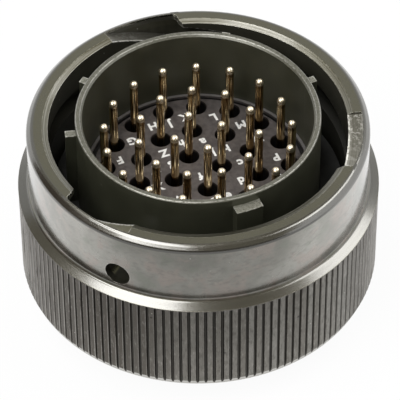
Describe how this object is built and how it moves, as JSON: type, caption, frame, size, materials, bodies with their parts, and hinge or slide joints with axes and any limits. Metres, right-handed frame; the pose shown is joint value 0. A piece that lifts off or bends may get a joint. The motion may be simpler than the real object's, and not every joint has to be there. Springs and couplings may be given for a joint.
{
  "type": "mil-spec circular connector",
  "caption": "Bayonet-coupled circular plug: knurled coupling ring with ramped entry notches and tracks, keyed barrel, and gold pins standing in a recessed insert.",
  "frame": {"origin": "on the connector's axis at the rear end of the shell, which the part stands on", "axes": "+Z along the axis towards the mating face, -Y through the wide master key"},
  "size_m": [0.0434, 0.0434, 0.0275],
  "materials": {
    "ring_plating": "satin olive drab plating, worn bright at edges",
    "shell_plating": "dark olive drab plating, semi-matt",
    "insert_face": "moulded, satin grey-brown",
    "insert_rear": "moulded, matt black",
    "contact_gold": "gold plated, polished",
    "spring_steel": "bright stainless",
    "seal_rubber": "matt black rubber"
  },
  "bodies": {
    "shell": {"plug_shell": "shell_plating", "main_gasket": "seal_rubber", "front_insert": "insert_face", "rear_insert": "insert_rear", "insert_lock_ring": "spring_steel", "coupling_clip": "spring_steel", "wave_spring": "spring_steel", "contact_01": "contact_gold", "contact_02": "contact_gold", "contact_03": "contact_gold", "contact_04": "contact_gold", "contact_05": "contact_gold", "contact_06": "contact_gold", "contact_07": "contact_gold", "contact_08": "contact_gold", "contact_09": "contact_gold", "contact_10": "contact_gold", "contact_11": "contact_gold", "contact_12": "contact_gold", "contact_13": "contact_gold", "contact_14": "contact_gold", "contact_15": "contact_gold", "contact_16": "contact_gold", "contact_17": "contact_gold", "contact_18": "contact_gold", "contact_19": "contact_gold", "contact_20": "contact_gold", "contact_21": "contact_gold", "contact_22": "contact_gold", "contact_23": "contact_gold", "contact_24": "contact_gold", "contact_25": "contact_gold", "contact_26": "contact_gold", "contact_27": "contact_gold", "contact_28": "contact_gold", "contact_29": "contact_gold", "contact_30": "contact_gold", "contact_31": "contact_gold", "contact_32": "contact_gold"},
    "washer": {"thrust_washer": "spring_steel"},
    "ring": {"coupling_ring": "ring_plating"}
  },
  "joints": [
    {"name": "ring_float", "type": "slide", "parent": "shell", "child": "washer", "axis": [0, 0, 1], "range_m": [0, 0.0008], "stiffness_N_per_m": 10000, "springref_m": -0.001, "deforming": ["wave_spring"]},
    {"name": "ring_turn", "type": "hinge", "parent": "washer", "child": "ring", "pos_m": [0, 0, 0.01], "axis": [0, 0, 1], "continuous": true}
  ]
}
